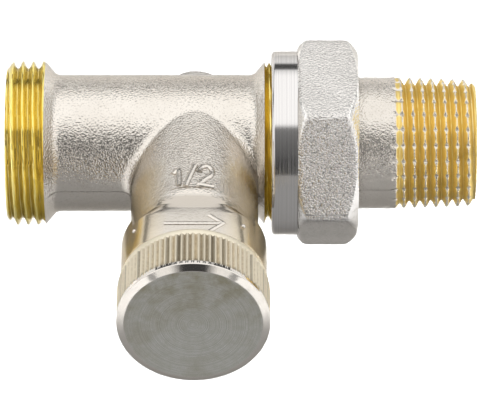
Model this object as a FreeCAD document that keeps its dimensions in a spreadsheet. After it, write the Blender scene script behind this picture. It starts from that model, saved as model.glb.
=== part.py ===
import FreeCAD, Part
import os
from types import SimpleNamespace

import Sketcher

# A straight lockshield radiator valve in plated brass, 1/2 inch, at its real size in millimetres.
# Frame: +X runs from the pipe end to the radiator tail, the spindle points along -Y and +Z is up.
# The origin is the centre of the pipe-end face. A height is a distance from the pipe axis along -Y.

DRIVING_SIZES = [
    # Run of the body, along X
    ("run_radius", 11.0),
    ("pipe_thread_radius", 13.22),
    ("pipe_thread_length", 6.2),
    ("pipe_thread_pitch", 1.75),
    ("pipe_runout_length", 0.95),
    ("pipe_runout_depth", 0.9),
    ("pipe_end_chamfer", 1.3),
    ("flare_rise", 2.1),
    ("flare_length", 2.5),
    ("flare_foot_length", 1.23),
    ("flare_foot_rise", 0.57),
    ("union_thread_radius", 13.05),
    ("union_thread_length", 8.4),
    ("union_relief_depth", 0.9),
    ("union_relief_length", 1.9),
    ("union_end_chamfer", 0.7),
    ("spindle_position", 30.2),
    ("union_setoff", 1.0),
    # Waterways
    ("bore_radius", 8.0),
    ("mouth_radius", 9.2),
    ("mouth_length", 4.0),
    ("pipe_bore_collar_gap", 1.2),
    ("union_bore_wall", 1.6),
    ("inlet_radius", 4.8),
    ("inlet_drop", 2.9),
    ("outlet_radius", 3.8),
    ("outlet_rise", 4.1),
    ("chamber_radius", 7.5),
    ("chamber_floor", 3.0),
    ("seat_radius", 4.6),
    ("seat_width", 1.0),
    ("seat_height", 0.8),
    # Neck, collar and cap spigot
    ("neck_inset", 0.9),
    ("neck_fillet", 2.0),
    ("shoulder_slope", 0.6),
    ("collar_radius", 11.4),
    ("collar_length", 8.8),
    ("collar_chamfer", 0.4),
    ("spigot_radius", 9.6),
    ("spigot_length", 5.5),
    ("spigot_chamfer", 0.3),
    ("panel_level", 9.0),
    ("panel_setback", 0.9),
    ("rear_pad_radius", 5.0),
    ("rear_pad_rise", 0.85),
    # Plug: washer, screw and cone
    ("valve_lift", 4.4),
    ("seat_gap", 0.1),
    ("washer_radius", 6.2),
    ("washer_thickness", 2.0),
    ("screw_radius", 2.0),
    ("screw_head_radius", 3.0),
    ("screw_head_thickness", 1.2),
    ("screw_slot_width", 0.8),
    ("screw_slot_depth", 0.6),
    ("screw_end_gap", 0.1),
    ("cone_flange_radius", 6.4),
    ("cone_flange_thickness", 2.0),
    ("cone_hub_radius", 4.2),
    ("cone_hub_length", 3.3),
    ("cone_clip_wire", 0.7),
    ("cone_clip_depth", 1.2),
    # Spindle and bush
    ("nose_radius", 2.5),
    ("nose_end_gap", 0.3),
    ("nose_shoulder_gap", 0.1),
    ("open_gap", 0.4),
    ("spindle_radius", 3.95),
    ("spindle_thread_radius", 6.0),
    ("spindle_thread_length", 5.0),
    ("spindle_boss_radius", 4.8),
    ("spindle_boss_length", 1.5),
    ("socket_width", 6.0),
    ("socket_depth", 6.0),
    ("spindle_ring_wire", 0.9),
    ("spindle_ring_depth", 6.0),
    ("spindle_ring_pitch", 3.0),
    ("bush_snout_radius", 6.5),
    ("bush_snout_length", 4.0),
    ("bush_radius", 8.0),
    ("bush_length", 19.05),
    ("bush_head_radius", 8.8),
    ("bush_head_thickness", 1.5),
    ("bush_slot_width", 2.0),
    ("bush_slot_depth", 1.2),
    ("bush_ring_wire", 1.0),
    ("bush_ring_depth", 2.0),
    ("guide_length", 10.0),
    ("circlip_depth", 2.9),
    ("circlip_thickness", 0.8),
    ("circlip_radius", 6.65),
    ("circlip_width", 1.65),
    ("circlip_gap", 2.4),
    ("circlip_play", 0.2),
    # Cap
    ("cap_radius", 11.9),
    ("cap_lip_step", 0.25),
    ("cap_lip_length", 1.4),
    ("cap_chamfer_width", 1.2),
    ("cap_chamfer_depth", 0.5),
    ("cap_top_thickness", 2.3),
    ("cap_collar_gap", 0.4),
    ("knurl_count", 84),
    ("knurl_depth", 0.35),
    ("knurl_margin", 0.75),
    ("gasket_inner_radius", 6.0),
    ("gasket_outer_radius", 9.3),
    ("gasket_thickness", 1.8),
    # Tailpiece
    ("tail_flange_radius", 12.0),
    ("tail_flange_thickness", 2.95),
    ("tail_tube_radius", 10.6),
    ("tail_tube_length", 10.2),
    ("tail_thread_length", 12.3),
    ("tail_thread_taper", 0.03125),
    ("tail_thread_pitch", 1.728),
    ("tail_thread_run_in", 0.6),
    ("tail_end_chamfer", 0.9),
    ("tail_bore_radius", 6.0),
    ("tail_mouth_radius", 7.2),
    ("tail_mouth_depth", 2.75),
    ("broach_width", 12.2),
    ("broach_length", 8.5),
    ("tail_ring_radius", 10.0),
    ("tail_ring_wire", 1.0),
    # Union nut
    ("nut_engagement", 7.25),
    ("nut_collar_radius", 14.8),
    ("nut_collar_length", 4.15),
    ("nut_collar_chamfer", 0.35),
    ("nut_hex_width", 30.0),
    ("nut_hex_length", 9.7),
    ("nut_front_radius", 16.1),
    ("nut_front_chamfer", 0.7),
    ("nut_back_radius", 14.7),
    ("nut_back_chamfer", 1.8),
    ("nut_mouth_chamfer", 0.6),
    ("nut_clock_angle", 7.0),
    # Thread form
    ("thread_depth", 1.1),
    ("thread_land", 0.2),
    # Clearances
    ("running_fit", 0.05),
    ("seated_fit", 0.05),
    ("ring_fit", 0.02),
    ("face_gap", 0.05),
    ("cap_fit", 0.1),
    ("nut_fit", 0.08),
    ("tube_fit", 0.15),
]

HEX_CORNER_RATIO = 3 ** 0.5
FULL_TURN = 360.0
SPINDLE_TURN = -90.0
POINT_TOLERANCE = 1e-6

doc = FreeCAD.newDocument("radiator_valve")
sheet = doc.addObject("Spreadsheet::Sheet", "Sizes")


class Size:
    """A length in millimetres, with the sheet expression that it comes from."""

    def __init__(self, value, text):
        self.value = value
        self.text = text

    def joined(self, sign, other, value):
        return Size(value, f"({self.text} {sign} {other.text})")

    def __add__(self, other):
        other = as_size(other)
        return self.joined("+", other, self.value + other.value)

    def __sub__(self, other):
        other = as_size(other)
        return self.joined("-", other, self.value - other.value)

    def __mul__(self, other):
        other = as_size(other)
        return self.joined("*", other, self.value * other.value)

    def __truediv__(self, other):
        other = as_size(other)
        return self.joined("/", other, self.value / other.value)

    def __neg__(self):
        return as_size(0) - self


def as_size(number):
    if isinstance(number, Size):
        return number
    return Size(float(number), repr(float(number)))


d = SimpleNamespace()
for row, (alias, value) in enumerate(DRIVING_SIZES, start=1):
    sheet.set(f"A{row}", alias)
    sheet.set(f"B{row}", str(value))
    sheet.setAlias(f"B{row}", alias)
    setattr(d, alias, Size(float(value), f"Sizes.{alias}"))
doc.recompute()

# Places along the run, from the pipe end
left_crest = d.pipe_thread_length
neck_radius = d.run_radius - d.neck_inset
right_crest = d.spindle_position + neck_radius + d.union_setoff
crest_radius = d.run_radius + d.flare_rise
union_end = right_crest + d.union_thread_length
left_bore_end = d.spindle_position - d.collar_radius - d.pipe_bore_collar_gap
right_bore_start = d.spindle_position + d.chamber_radius + d.union_bore_wall
tail_start = union_end + d.face_gap
flange_end = tail_start + d.tail_flange_thickness
tail_thread_start = flange_end + d.tail_tube_length
tail_end = tail_thread_start + d.tail_thread_length
tail_mouth_end = tail_start + d.tail_mouth_depth
nut_start = union_end - d.nut_engagement
nut_hex_start = nut_start + d.nut_collar_length
nut_end = nut_hex_start + d.nut_hex_length

# Heights along the spindle, from the pipe axis: each piece stands on the one below it
seat_top = d.chamber_floor + d.seat_height
washer_face = seat_top + d.seat_gap + d.valve_lift
washer_top = washer_face + d.washer_thickness
flange_top = washer_top + d.cone_flange_thickness
hub_top = flange_top + d.cone_hub_length
snout_end = hub_top + d.open_gap
bush_shoulder = snout_end + d.bush_snout_length
bush_head = bush_shoulder + d.bush_length
spigot_end = bush_head + d.bush_head_thickness
collar_face = spigot_end - d.spigot_length
neck_top = collar_face - d.collar_length
circlip_top = spigot_end - d.circlip_depth
circlip_bottom = circlip_top - d.circlip_thickness
thread_top = circlip_bottom - d.circlip_play
thread_bottom = thread_top - d.spindle_thread_length
boss_top = thread_top + d.spindle_boss_length
guide_end = snout_end + d.guide_length
gasket_bottom = spigot_end + d.face_gap
gasket_top = gasket_bottom + d.gasket_thickness
cap_inside = gasket_top + d.face_gap
cap_top = cap_inside + d.cap_top_thickness
cap_start = collar_face + d.cap_collar_gap
lip_end = cap_start + d.cap_lip_length


def new_body(name):
    body = doc.addObject("PartDesign::Body", name)
    body.Label = name
    return body


def new_sketch(body, name, role):
    sketch = body.newObject("Sketcher::SketchObject", name)
    plane = next(part for part in body.Origin.OriginFeatures if part.Role == role)
    sketch.AttachmentSupport = [(plane, "")]
    sketch.MapMode = "FlatFace"
    return sketch


def shift_sketch(sketch, **offsets):
    """Move a sketch within its plane's frame, along x, y or z."""
    for letter, offset in offsets.items():
        sketch.setExpression(f"AttachmentOffset.Base.{letter}", offset.text)


def axial_sketch(body, name, line):
    """A half section: its first coordinate runs along the line, its second is the radius."""
    if line == "pipe":
        return new_sketch(body, name, "XZ_Plane")
    sketch = new_sketch(body, name, "XY_Plane")
    turn = FreeCAD.Rotation(FreeCAD.Vector(0, 0, 1), SPINDLE_TURN)
    sketch.AttachmentOffset = FreeCAD.Placement(FreeCAD.Vector(), turn)
    shift_sketch(sketch, x=d.spindle_position)
    return sketch


def cross_sketch(body, name, line, place):
    """A cross section that faces along the line, at a place on it."""
    if line == "spindle":
        sketch = new_sketch(body, name, "XZ_Plane")
        shift_sketch(sketch, x=d.spindle_position, z=place)
    else:
        sketch = new_sketch(body, name, "YZ_Plane")
        shift_sketch(sketch, z=place)
    return sketch


def arc_between(start, end, radius):
    """A small arc to the left of the way from start to end, or to its right if the radius is negative."""
    chord = end - start
    half = chord.Length / 2
    sagitta = abs(radius) - (radius ** 2 - half ** 2) ** 0.5
    left = FreeCAD.Vector(-chord.y, chord.x, 0).normalize()
    side = 1 if radius > 0 else -1
    return Part.ArcOfCircle(start, (start + end) / 2 + left * (side * sagitta), end)


def draw_polygon(sketch, points, arcs=None):
    """A closed outline with straight sides, or an arc of the given radius on a numbered side."""
    arcs = arcs or {}
    corners = [(as_size(across), as_size(up)) for across, up in points]
    places = [FreeCAD.Vector(across.value, up.value, 0) for across, up in corners]
    following = places[1:] + places[:1]
    starts = []
    for number, (start, end) in enumerate(zip(places, following)):
        if number in arcs:
            sketch.addGeometry(arc_between(start, end, arcs[number].value))
        else:
            sketch.addGeometry(Part.LineSegment(start, end))
        starts.append(1 if sketch.getPoint(number, 1).isEqual(start, POINT_TOLERANCE) else 2)
    for number, first in enumerate(starts):
        after = (number + 1) % len(starts)
        sketch.addConstraint(Sketcher.Constraint("Coincident", number, 3 - first, after, starts[after]))
    for number, (across, up) in enumerate(corners):
        bind_point(sketch, "DistanceX", number, starts[number], across)
        bind_point(sketch, "DistanceY", number, starts[number], up)
    for number, radius in arcs.items():
        bind_radius(sketch, number, radius)


def bind_point(sketch, kind, edge, end, size):
    index = sketch.addConstraint(Sketcher.Constraint(kind, -1, 1, edge, end, size.value))
    sketch.setExpression(f"Constraints[{index}]", size.text)


def bind_radius(sketch, edge, radius):
    size = radius if radius.value > 0 else -radius
    index = sketch.addConstraint(Sketcher.Constraint("Radius", edge, size.value))
    sketch.setExpression(f"Constraints[{index}]", size.text)


def draw_circle(sketch, across, up, radius):
    across = as_size(across)
    up = as_size(up)
    centre = FreeCAD.Vector(across.value, up.value, 0)
    edge = sketch.addGeometry(Part.Circle(centre, FreeCAD.Vector(0, 0, 1), radius.value))
    bind_point(sketch, "DistanceX", edge, 3, across)
    bind_point(sketch, "DistanceY", edge, 3, up)
    bind_radius(sketch, edge, radius)


def draw_rectangle(sketch, low_x, low_y, high_x, high_y):
    draw_polygon(sketch, [(low_x, low_y), (high_x, low_y), (high_x, high_y), (low_x, high_y)])


def draw_hexagon(sketch, width):
    """A hexagon by its width across flats, with two corners on the sketch's x axis."""
    corner = width / HEX_CORNER_RATIO
    half = corner / 2
    flat = width / 2
    draw_polygon(sketch, [(corner, 0), (half, flat), (-half, flat),
                          (-corner, 0), (-half, -flat), (half, -flat)])


def turned(body, name, line, points, arcs=None, kind="PartDesign::Revolution"):
    """Turn a half section about its line, as added metal or, as a groove, as metal cut away."""
    sketch = axial_sketch(body, name + "_section", line)
    draw_polygon(sketch, points, arcs)
    feature = body.newObject(kind, name)
    feature.Profile = sketch
    feature.ReferenceAxis = (sketch, ["H_Axis"])
    feature.Angle = FULL_TURN
    doc.recompute()
    return feature


def bored(body, name, line, points):
    before = body.Shape.Volume
    feature = turned(body, name, line, points, kind="PartDesign::Groove")
    assert body.Shape.Volume < before, f"{name} cuts nothing"
    return feature


def pocketed(body, name, sketch, depth, forward=False):
    """Cut a sketch's outline into the body, against its sketch's normal or forward along it."""
    before = body.Shape.Volume
    pocket = body.newObject("PartDesign::Pocket", name)
    pocket.Profile = sketch
    pocket.setExpression("Length", depth.text)
    pocket.Reversed = forward
    doc.recompute()
    assert body.Shape.Volume < before, f"{name} cuts nothing"
    return pocket


def rounded(body, name, base, edges, radius):
    assert edges, f"{name} finds no edge"
    fillet = body.newObject("PartDesign::Fillet", name)
    fillet.Base = (base, edges)
    fillet.setExpression("Radius", radius.text)
    doc.recompute()
    return fillet


def o_ring(name, line, place, radius, wire):
    """A seal ring, by the radius of its middle line and the thickness of its wire."""
    ring = doc.addObject("Part::Torus", name)
    ring.Label = name
    ring.setExpression("Radius1", radius.text)
    ring.setExpression("Radius2", (wire / 2).text)
    if line == "spindle":
        ring.Placement.Rotation = FreeCAD.Rotation(FreeCAD.Vector(0, 0, 1), FreeCAD.Vector(0, -1, 0))
        ring.setExpression("Placement.Base.x", d.spindle_position.text)
        ring.setExpression("Placement.Base.y", (-place).text)
    else:
        ring.Placement.Rotation = FreeCAD.Rotation(FreeCAD.Vector(0, 0, 1), FreeCAD.Vector(1, 0, 0))
        ring.setExpression("Placement.Base.x", place.text)
    doc.recompute()
    return ring


def meeting_edges(shape, first_radius, second_radius):
    """Names of the edges where two round walls of these radii meet."""
    names = []
    for number, edge in enumerate(shape.Edges, start=1):
        faces = shape.ancestorsOfType(edge, Part.Face)
        radii = [face.Surface.Radius for face in faces if isinstance(face.Surface, Part.Cylinder)]
        wanted = sorted([first_radius.value, second_radius.value])
        if len(radii) == 2 and max(abs(a - b) for a, b in zip(sorted(radii), wanted)) < POINT_TOLERANCE:
            names.append(f"Edge{number}")
    return names


def thread_rings(start, room, pitch, outside):
    """Ring grooves for a thread's turns: as many as the room takes, cut in from the outside radius."""
    points = []
    for number in range(int(room.value // pitch.value)):
        groove_start = start + pitch * number
        groove_end = groove_start + pitch - d.thread_land
        root = (groove_start + groove_end) / 2
        points += [(groove_start, outside(groove_start)), (root, outside(root) - d.thread_depth),
                   (groove_end, outside(groove_end))]
    return points


# Valve body: a round run, the neck that carries the spindle, and a threaded end behind each flare
flare_foot_radius = (d.flare_foot_length * d.flare_foot_length + d.flare_foot_rise * d.flare_foot_rise) / (
    d.flare_foot_rise * 2)
valve_body = new_body("valve_body")
turned(valve_body, "run", "pipe", [
    (left_crest, 0),
    (left_crest, d.run_radius),
    (right_crest, d.run_radius),
    (right_crest, 0),
])
rear_pad_face = -(d.run_radius + d.rear_pad_rise)
neck = turned(valve_body, "neck", "spindle", [
    (rear_pad_face, 0),
    (rear_pad_face, d.rear_pad_radius),
    (0, d.rear_pad_radius),
    (0, neck_radius),
    (neck_top, neck_radius),
    (neck_top + d.shoulder_slope, d.collar_radius),
    (collar_face - d.collar_chamfer, d.collar_radius),
    (collar_face, d.collar_radius - d.collar_chamfer),
    (collar_face, d.spigot_radius),
    (spigot_end - d.spigot_chamfer, d.spigot_radius),
    (spigot_end, d.spigot_radius - d.spigot_chamfer),
    (spigot_end, 0),
])
neck_edges = meeting_edges(neck.Shape, d.run_radius, neck_radius)
rounded(valve_body, "neck_blend", neck, neck_edges, d.neck_fillet)
left_foot = left_crest + d.flare_length
runout_end = left_crest - d.thread_land
runout_start = runout_end - d.pipe_runout_length
first_turn = d.pipe_end_chamfer + d.thread_land
pipe_turns = thread_rings(first_turn, runout_start - first_turn, d.pipe_thread_pitch,
                          lambda x: d.pipe_thread_radius)
pipe_end_points = [
    (0, 0),
    (0, d.pipe_thread_radius - d.pipe_end_chamfer),
    (d.pipe_end_chamfer, d.pipe_thread_radius),
    *pipe_turns,
    (runout_start, d.pipe_thread_radius),
    ((runout_start + runout_end) / 2, d.pipe_thread_radius - d.pipe_runout_depth),
    (runout_end, d.pipe_thread_radius),
    (left_crest, d.pipe_thread_radius),
    (left_crest, crest_radius),
    (left_foot - d.flare_foot_length, d.run_radius + d.flare_foot_rise),
    (left_foot, d.run_radius),
    (left_foot, 0),
]
flare_foot_side = len(pipe_end_points) - 3
turned(valve_body, "pipe_end", "pipe", pipe_end_points, {flare_foot_side: -flare_foot_radius})
right_foot = right_crest - d.flare_length
turned(valve_body, "union_end", "pipe", [
    (right_foot, 0),
    (right_foot, d.run_radius),
    (right_foot + d.flare_foot_length, d.run_radius + d.flare_foot_rise),
    (right_crest, crest_radius),
    (right_crest + d.union_relief_depth, crest_radius - d.union_relief_depth),
    (right_crest + d.union_relief_length, crest_radius - d.union_relief_depth),
    (right_crest + d.union_relief_length + d.union_relief_depth, d.union_thread_radius),
    (union_end - d.union_end_chamfer, d.union_thread_radius),
    (union_end, d.union_thread_radius - d.union_end_chamfer),
    (union_end, 0),
], {1: -flare_foot_radius})

panel_sketch = new_sketch(valve_body, "panel_outline", "XY_Plane")
shift_sketch(panel_sketch, z=d.panel_level)
draw_rectangle(panel_sketch, d.spindle_position - d.collar_radius, -collar_face,
               d.spindle_position + d.collar_radius, -(neck_top + d.panel_setback))
pocketed(valve_body, "panel", panel_sketch, d.collar_radius, forward=True)

bored(valve_body, "pipe_bore", "pipe", [
    (0, 0),
    (0, d.mouth_radius),
    (d.mouth_length, d.bore_radius),
    (left_bore_end, d.bore_radius),
    (left_bore_end, 0),
])
bored(valve_body, "union_bore", "pipe", [
    (right_bore_start, 0),
    (right_bore_start, d.bore_radius),
    (union_end, d.bore_radius),
    (union_end, 0),
])
inlet_sketch = cross_sketch(valve_body, "inlet_outline", "pipe", left_bore_end)
draw_circle(inlet_sketch, d.inlet_drop, 0, d.inlet_radius)
seat_rim_radius = d.seat_radius + d.seat_width
inlet_length = d.spindle_position + seat_rim_radius - left_bore_end
pocketed(valve_body, "inlet", inlet_sketch, inlet_length, forward=True)
outlet_sketch = cross_sketch(valve_body, "outlet_outline", "pipe", right_bore_start)
draw_circle(outlet_sketch, -d.outlet_rise, 0, d.outlet_radius)
outlet_end = d.spindle_position + (seat_rim_radius + d.chamber_radius) / 2
outlet_length = right_bore_start - outlet_end
pocketed(valve_body, "outlet", outlet_sketch, outlet_length)
bored(valve_body, "chamber", "spindle", [
    (-d.inlet_drop, 0),
    (-d.inlet_drop, d.seat_radius),
    (seat_top, d.seat_radius),
    (seat_top, seat_rim_radius),
    (d.chamber_floor, seat_rim_radius),
    (d.chamber_floor, d.chamber_radius),
    (bush_shoulder, d.chamber_radius),
    (bush_shoulder, d.bush_radius + d.seated_fit),
    (bush_head, d.bush_radius + d.seated_fit),
    (bush_head, d.bush_head_radius + d.seated_fit),
    (spigot_end, d.bush_head_radius + d.seated_fit),
    (spigot_end, 0),
])

# Bush that guides the spindle, with its seal groove, stop-ring groove and spanner slots
guide_radius = d.spindle_radius + d.running_fit
bush_thread_radius = d.spindle_thread_radius + d.running_fit
bush_ring_low = bush_shoulder + d.bush_ring_depth
bush_ring_high = bush_ring_low + d.bush_ring_wire + d.ring_fit * 2
bush_groove_radius = d.bush_radius + d.seated_fit - d.bush_ring_wire - d.ring_fit * 2
circlip_groove_radius = d.circlip_radius + d.seated_fit
insert_bush = new_body("insert_bush")
turned(insert_bush, "bush", "spindle", [
    (snout_end, guide_radius),
    (snout_end, d.bush_snout_radius),
    (bush_shoulder, d.bush_snout_radius),
    (bush_shoulder, d.bush_radius),
    (bush_ring_low, d.bush_radius),
    (bush_ring_low, bush_groove_radius),
    (bush_ring_high, bush_groove_radius),
    (bush_ring_high, d.bush_radius),
    (bush_head, d.bush_radius),
    (bush_head, d.bush_head_radius),
    (spigot_end, d.bush_head_radius),
    (spigot_end, bush_thread_radius),
    (circlip_top + d.seated_fit, bush_thread_radius),
    (circlip_top + d.seated_fit, circlip_groove_radius),
    (circlip_bottom - d.seated_fit, circlip_groove_radius),
    (circlip_bottom - d.seated_fit, bush_thread_radius),
    (guide_end, bush_thread_radius),
    (guide_end, guide_radius),
])
bush_slot_sketch = cross_sketch(insert_bush, "spanner_slots_outline", "spindle", spigot_end)
draw_rectangle(bush_slot_sketch, -d.bush_head_radius, -(d.bush_slot_width / 2),
               d.bush_head_radius, d.bush_slot_width / 2)
pocketed(insert_bush, "spanner_slots", bush_slot_sketch, d.bush_slot_depth)

bush_ring_middle = bush_groove_radius + d.ring_fit + d.bush_ring_wire / 2
insert_o_ring = o_ring("insert_o_ring", "spindle", bush_ring_low + d.ring_fit + d.bush_ring_wire / 2,
                       bush_ring_middle, d.bush_ring_wire)

spindle_circlip = new_body("spindle_circlip")
circlip_inner_radius = d.circlip_radius - d.circlip_width
turned(spindle_circlip, "stop_ring", "spindle", [
    (circlip_bottom, circlip_inner_radius),
    (circlip_bottom, d.circlip_radius),
    (circlip_top, d.circlip_radius),
    (circlip_top, circlip_inner_radius),
])
circlip_gap_sketch = cross_sketch(spindle_circlip, "gap_outline", "spindle", circlip_top)
draw_rectangle(circlip_gap_sketch, 0, -(d.circlip_gap / 2), d.circlip_radius * 2, d.circlip_gap / 2)
pocketed(spindle_circlip, "gap", circlip_gap_sketch, d.circlip_thickness)

# Spindle: hex socket, thread, two seal grooves, and a nose that turns in the cone
nose_end = flange_top + d.nose_end_gap
nose_shoulder = hub_top + d.nose_shoulder_gap
clip_middle = hub_top - d.cone_clip_depth
clip_groove_half = d.cone_clip_wire / 2 + d.running_fit
nose_groove_radius = d.nose_radius - d.cone_clip_wire / 2 - d.running_fit
ring_groove_radius = guide_radius - d.spindle_ring_wire - d.ring_fit * 2
ring_groove_half = d.spindle_ring_wire / 2 + d.ring_fit
inner_ring_middle = snout_end + d.spindle_ring_depth
outer_ring_middle = inner_ring_middle + d.spindle_ring_pitch
spindle = new_body("spindle")
turned(spindle, "stem", "spindle", [
    (nose_end, 0),
    (nose_end, d.nose_radius),
    (clip_middle - clip_groove_half, d.nose_radius),
    (clip_middle - clip_groove_half, nose_groove_radius),
    (clip_middle + clip_groove_half, nose_groove_radius),
    (clip_middle + clip_groove_half, d.nose_radius),
    (nose_shoulder, d.nose_radius),
    (nose_shoulder, d.spindle_radius),
    (inner_ring_middle - ring_groove_half, d.spindle_radius),
    (inner_ring_middle - ring_groove_half, ring_groove_radius),
    (inner_ring_middle + ring_groove_half, ring_groove_radius),
    (inner_ring_middle + ring_groove_half, d.spindle_radius),
    (outer_ring_middle - ring_groove_half, d.spindle_radius),
    (outer_ring_middle - ring_groove_half, ring_groove_radius),
    (outer_ring_middle + ring_groove_half, ring_groove_radius),
    (outer_ring_middle + ring_groove_half, d.spindle_radius),
    (thread_bottom, d.spindle_radius),
    (thread_bottom, d.spindle_thread_radius),
    (thread_top, d.spindle_thread_radius),
    (thread_top, d.spindle_boss_radius),
    (boss_top, d.spindle_boss_radius),
    (boss_top, 0),
])
socket_sketch = cross_sketch(spindle, "socket_outline", "spindle", boss_top)
draw_hexagon(socket_sketch, d.socket_width)
pocketed(spindle, "socket", socket_sketch, d.socket_depth)

spindle_ring_radius = ring_groove_radius + d.ring_fit + d.spindle_ring_wire / 2
o_ring("spindle_o_ring_inner", "spindle", inner_ring_middle, spindle_ring_radius, d.spindle_ring_wire)
o_ring("spindle_o_ring_outer", "spindle", outer_ring_middle, spindle_ring_radius, d.spindle_ring_wire)

# Cone, its wire clip, the rubber washer and the screw that holds it
hub_bore_radius = d.nose_radius + d.running_fit
screw_hole_radius = d.screw_radius + d.seated_fit
hub_groove_radius = d.nose_radius + d.cone_clip_wire / 2 + d.running_fit
cone = new_body("cone")
turned(cone, "plug", "spindle", [
    (washer_top, screw_hole_radius),
    (washer_top, d.cone_flange_radius),
    (flange_top, d.cone_flange_radius),
    (flange_top, d.cone_hub_radius),
    (hub_top, d.cone_hub_radius),
    (hub_top, hub_bore_radius),
    (clip_middle + clip_groove_half, hub_bore_radius),
    (clip_middle + clip_groove_half, hub_groove_radius),
    (clip_middle - clip_groove_half, hub_groove_radius),
    (clip_middle - clip_groove_half, hub_bore_radius),
    (flange_top, hub_bore_radius),
    (flange_top, screw_hole_radius),
])
o_ring("cone_clip", "spindle", clip_middle, d.nose_radius, d.cone_clip_wire)

seat_washer = new_body("seat_washer")
turned(seat_washer, "disc", "spindle", [
    (washer_face, screw_hole_radius),
    (washer_face, d.washer_radius),
    (washer_top, d.washer_radius),
    (washer_top, screw_hole_radius),
])

screw_head_face = washer_face - d.screw_head_thickness
screw_end = flange_top - d.screw_end_gap
washer_screw = new_body("washer_screw")
turned(washer_screw, "screw", "spindle", [
    (screw_head_face, 0),
    (screw_head_face, d.screw_head_radius),
    (washer_face, d.screw_head_radius),
    (washer_face, d.screw_radius),
    (screw_end, d.screw_radius),
    (screw_end, 0),
])
screw_slot_sketch = cross_sketch(washer_screw, "slot_outline", "spindle", screw_head_face)
draw_rectangle(screw_slot_sketch, -d.screw_head_radius, -(d.screw_slot_width / 2),
               d.screw_head_radius, d.screw_slot_width / 2)
pocketed(washer_screw, "slot", screw_slot_sketch, d.screw_slot_depth, forward=True)

# Knurled cap over the spindle, and the flat seal ring inside it
cap_bore_radius = d.spigot_radius + d.cap_fit
lip_radius = d.cap_radius - d.cap_lip_step
cap = new_body("cap")
turned(cap, "shell", "spindle", [
    (cap_start, cap_bore_radius),
    (cap_start, lip_radius),
    (lip_end, lip_radius),
    (lip_end, d.cap_radius),
    (cap_top - d.cap_chamfer_depth, d.cap_radius),
    (cap_top, d.cap_radius - d.cap_chamfer_width),
    (cap_top, 0),
    (cap_inside, 0),
    (cap_inside, cap_bore_radius),
])
knurl_sketch = cross_sketch(cap, "knurl_outline", "spindle", lip_end)
knurl_mouth = d.cap_radius + d.knurl_depth
draw_polygon(knurl_sketch, [
    (d.cap_radius - d.knurl_depth, 0),
    (knurl_mouth, d.knurl_depth * 2),
    (knurl_mouth, -(d.knurl_depth * 2)),
])
knurl_length = cap_top - d.cap_chamfer_depth - d.knurl_margin - lip_end
knurl_groove = pocketed(cap, "knurl_groove", knurl_sketch, knurl_length, forward=True)
knurl = cap.newObject("PartDesign::PolarPattern", "knurl")
knurl.Originals = [knurl_groove]
knurl.Axis = (knurl_sketch, ["N_Axis"])
knurl.Angle = FULL_TURN
knurl.setExpression("Occurrences", d.knurl_count.text)
cap.Tip = knurl
doc.recompute()

cap_gasket = new_body("cap_gasket")
turned(cap_gasket, "seal", "spindle", [
    (gasket_bottom, d.gasket_inner_radius),
    (gasket_bottom, d.gasket_outer_radius),
    (gasket_top, d.gasket_outer_radius),
    (gasket_top, d.gasket_inner_radius),
])

# Tailpiece: sealing flange, tube, tapered thread, and a hexagon inside for the fitting key
tail_ring_groove_depth = d.tail_ring_wire + d.ring_fit * 2
tail_ring_half = d.tail_ring_wire / 2 + d.ring_fit
tail_end_radius = d.tail_tube_radius - d.tail_thread_length * d.tail_thread_taper
tail_chamfer_radius = tail_end_radius + d.tail_end_chamfer * d.tail_thread_taper
tail_first_turn = tail_thread_start + d.tail_thread_run_in
tail_thread_room = tail_end - d.tail_end_chamfer - tail_first_turn
tail_turns = thread_rings(tail_first_turn, tail_thread_room, d.tail_thread_pitch,
                          lambda x: d.tail_tube_radius - (x - tail_thread_start) * d.tail_thread_taper)
tailpiece = new_body("tailpiece")
turned(tailpiece, "tail", "pipe", [
    (tail_start, d.tail_mouth_radius),
    (tail_start, d.tail_ring_radius - tail_ring_half),
    (tail_start + tail_ring_groove_depth, d.tail_ring_radius - tail_ring_half),
    (tail_start + tail_ring_groove_depth, d.tail_ring_radius + tail_ring_half),
    (tail_start, d.tail_ring_radius + tail_ring_half),
    (tail_start, d.tail_flange_radius),
    (flange_end, d.tail_flange_radius),
    (flange_end, d.tail_tube_radius),
    (tail_thread_start, d.tail_tube_radius),
    *tail_turns,
    (tail_end - d.tail_end_chamfer, tail_chamfer_radius),
    (tail_end, tail_end_radius - d.tail_end_chamfer),
    (tail_end, d.tail_bore_radius),
    (tail_mouth_end, d.tail_bore_radius),
    (tail_mouth_end, d.tail_mouth_radius),
])
broach_sketch = cross_sketch(tailpiece, "broach_outline", "pipe", tail_mouth_end)
draw_hexagon(broach_sketch, d.broach_width)
pocketed(tailpiece, "broach", broach_sketch, d.broach_length, forward=True)
o_ring("tail_o_ring", "pipe", tail_start + d.ring_fit + d.tail_ring_wire / 2,
       d.tail_ring_radius, d.tail_ring_wire)

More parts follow.
